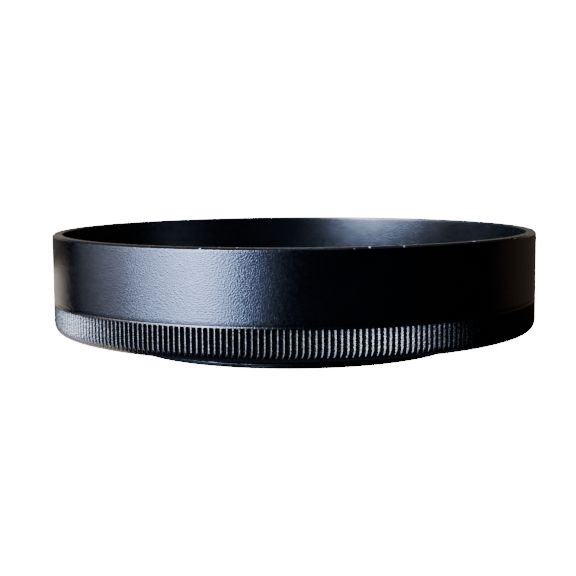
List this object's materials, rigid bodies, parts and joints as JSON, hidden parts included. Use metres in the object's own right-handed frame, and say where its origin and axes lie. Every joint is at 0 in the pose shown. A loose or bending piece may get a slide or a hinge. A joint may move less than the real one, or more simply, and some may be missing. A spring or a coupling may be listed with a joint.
{
  "type": "screw-in lens hood",
  "caption": "Short round metal lens hood: a plain black barrel that screws out of a knurled mount ring with a male filter-thread collar below.",
  "frame": {"origin": "centre of the collar's end face, on the optical axis, where the hood stands on its collar", "axes": "+Z along the optical axis, from the collar to the open rim; X and Y across"},
  "size_m": [0.072, 0.072, 0.017],
  "materials": {
    "barrel": "bead-blasted, black anodised, satin with fine sparkle",
    "knurl": "black anodised over bright-cut flutes, semi-gloss crests",
    "thread": "black anodised, turned",
    "lock": "black anodised, satin",
    "baffle": "matt black optical paint"
  },
  "bodies": {
    "mount": {"knurled_mount_ring": "knurl", "thread_collar": "thread", "collar_lock_ring": "lock"},
    "baffle": {"baffle_ring": "baffle"},
    "barrel": {"hood_barrel": "barrel"}
  },
  "joints": [
    {"name": "barrel_turn", "type": "hinge", "parent": "mount", "child": "baffle", "pos_m": [0, 0, 0], "axis": [0, 0, 1], "range_deg": [0, 900]},
    {"name": "barrel_climb", "type": "slide", "parent": "baffle", "child": "barrel", "axis": [0, 0, 1], "range_m": [0, 0.00187]}
  ],
  "couplings": [
    {"joint": "barrel_climb", "follows": "barrel_turn", "m_per_rad": 0.00011937}
  ]
}
